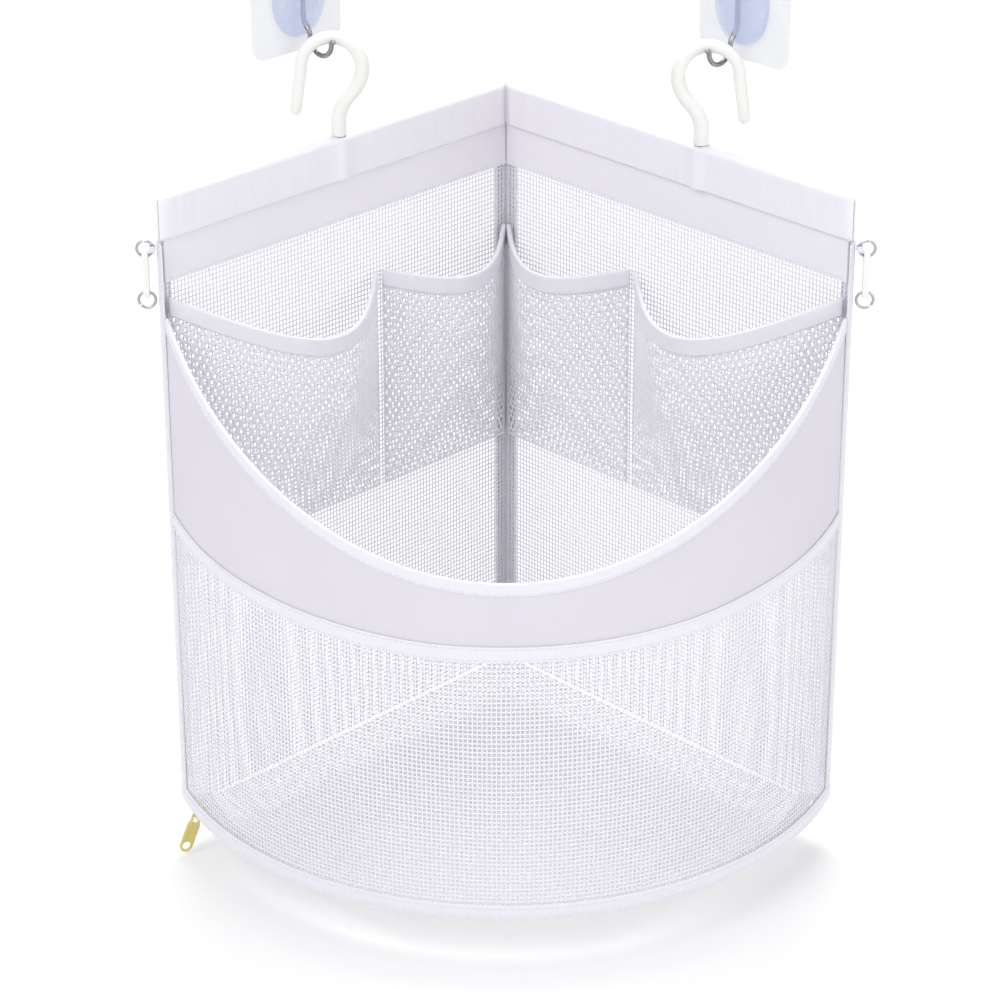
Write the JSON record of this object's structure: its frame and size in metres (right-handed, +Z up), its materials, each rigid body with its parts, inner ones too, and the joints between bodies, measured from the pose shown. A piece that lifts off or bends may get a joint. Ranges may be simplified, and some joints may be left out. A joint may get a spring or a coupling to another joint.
{
  "type": "corner bath toy organizer",
  "caption": "Quarter-round net bag that hangs across a room corner from wall hooks, with net pockets along its back panels, a scooped front and a zip in its floor.",
  "frame": {"origin": "on the room's corner line, level with the centres of the wall pads", "axes": "+Z up, +X to the right along the corner's diagonal, the room towards -Y; the walls are the planes Y = X on the left and Y = -X on the right"},
  "size_m": [0.3666, 0.2969, 0.4694],
  "materials": {
    "cloth": "plain white woven cloth",
    "sheer_cloth": "thin white cloth, half see-through",
    "fine_net": "fine square net",
    "pocket_net": "coarse hexagonal net",
    "tape": "white woven tape",
    "white_plastic": "smooth, slightly milky",
    "zip_plastic": "moulded teeth",
    "clear_film": "clear film",
    "clear_dome": "clear moulding with a blue tint",
    "steel": "bright plated wire",
    "brass": "polished"
  },
  "bodies": {
    "wall_hooks": {"adhesive_pad_left": "clear_film", "clear_dome_left": "clear_dome", "steel_hook_left": "steel", "adhesive_pad_right": "clear_film", "clear_dome_right": "clear_dome", "steel_hook_right": "steel"},
    "bag": {"top_hem_left": "cloth", "hanger_strip_left": "white_plastic", "back_band_left": "cloth", "back_net_left": "fine_net", "upper_ring_left": "steel", "ring_loop_left": "tape", "side_binding_left": "tape", "inner_pocket_left_net": "pocket_net", "inner_pocket_left_binding": "tape", "outer_pocket_left_net": "pocket_net", "outer_pocket_left_binding": "tape", "top_hem_right": "cloth", "hanger_strip_right": "white_plastic", "back_band_right": "cloth", "back_net_right": "fine_net", "upper_ring_right": "steel", "ring_loop_right": "tape", "side_binding_right": "tape", "inner_pocket_right_net": "pocket_net", "inner_pocket_right_binding": "tape", "outer_pocket_right_net": "pocket_net", "outer_pocket_right_binding": "tape", "corner_binding": "tape", "front_band": "sheer_cloth", "front_net": "fine_net", "rim_binding": "tape", "waist_tape": "tape", "bottom_hem": "tape", "floor_panel": "fine_net", "zip_tape_outer": "tape", "zip_tape_inner": "tape", "zip_teeth_outer": "zip_plastic", "zip_teeth_inner": "zip_plastic", "zip_stop_start": "brass", "zip_stop_end": "brass"},
    "left_hanger_hook": {"hanger_hook_left": "white_plastic"},
    "right_hanger_hook": {"hanger_hook_right": "white_plastic"},
    "zip_carriage": {"zip_slider": "brass"},
    "zip_handle": {"zip_pull": "brass"},
    "left_tab": {"loop_tab_left": "white_plastic"},
    "right_tab": {"loop_tab_right": "white_plastic"},
    "left_ring": {"lower_ring_left": "steel"},
    "right_ring": {"lower_ring_right": "steel"}
  },
  "joints": [
    {"name": "bag_lift", "type": "slide", "parent": "wall_hooks", "child": "bag", "axis": [0, 0, 1], "range_m": [0, 0.012]},
    {"name": "left_hook_swivel", "type": "hinge", "parent": "bag", "child": "left_hanger_hook", "pos_m": [-0.08556, -0.12035, -0.071], "axis": [0, 0, 1], "range_deg": [0, 20]},
    {"name": "right_hook_swivel", "type": "hinge", "parent": "bag", "child": "right_hanger_hook", "pos_m": [0.09925, -0.13404, -0.071], "axis": [0, 0, -1], "range_deg": [0, 20]},
    {"name": "zip_travel", "type": "hinge", "parent": "bag", "child": "zip_carriage", "pos_m": [0, -0.1439, -0.41387], "axis": [0, 0, 1], "range_deg": [0, 132.9], "deforming": ["zip_teeth_outer", "zip_teeth_inner"]},
    {"name": "zip_pull_swing", "type": "hinge", "parent": "zip_carriage", "child": "zip_handle", "pos_m": [-0.16366, -0.21518, -0.41758], "axis": [0.8501, 0.3702, -0.3746], "range_deg": [-60, 60]},
    {"name": "left_tab_swing", "type": "hinge", "parent": "bag", "child": "left_tab", "pos_m": [-0.17833, -0.20591, -0.10305], "axis": [1, 0, 0], "range_deg": [-60, 60]},
    {"name": "left_ring_swing", "type": "hinge", "parent": "left_tab", "child": "left_ring", "pos_m": [-0.17833, -0.20591, -0.12205], "axis": [1, 0, 0], "range_deg": [-60, 60]},
    {"name": "right_tab_swing", "type": "hinge", "parent": "bag", "child": "right_tab", "pos_m": [0.17833, -0.20591, -0.10305], "axis": [1, 0, 0], "range_deg": [-60, 60]},
    {"name": "right_ring_swing", "type": "hinge", "parent": "right_tab", "child": "right_ring", "pos_m": [0.17833, -0.20591, -0.12205], "axis": [1, 0, 0], "range_deg": [-60, 60]}
  ]
}
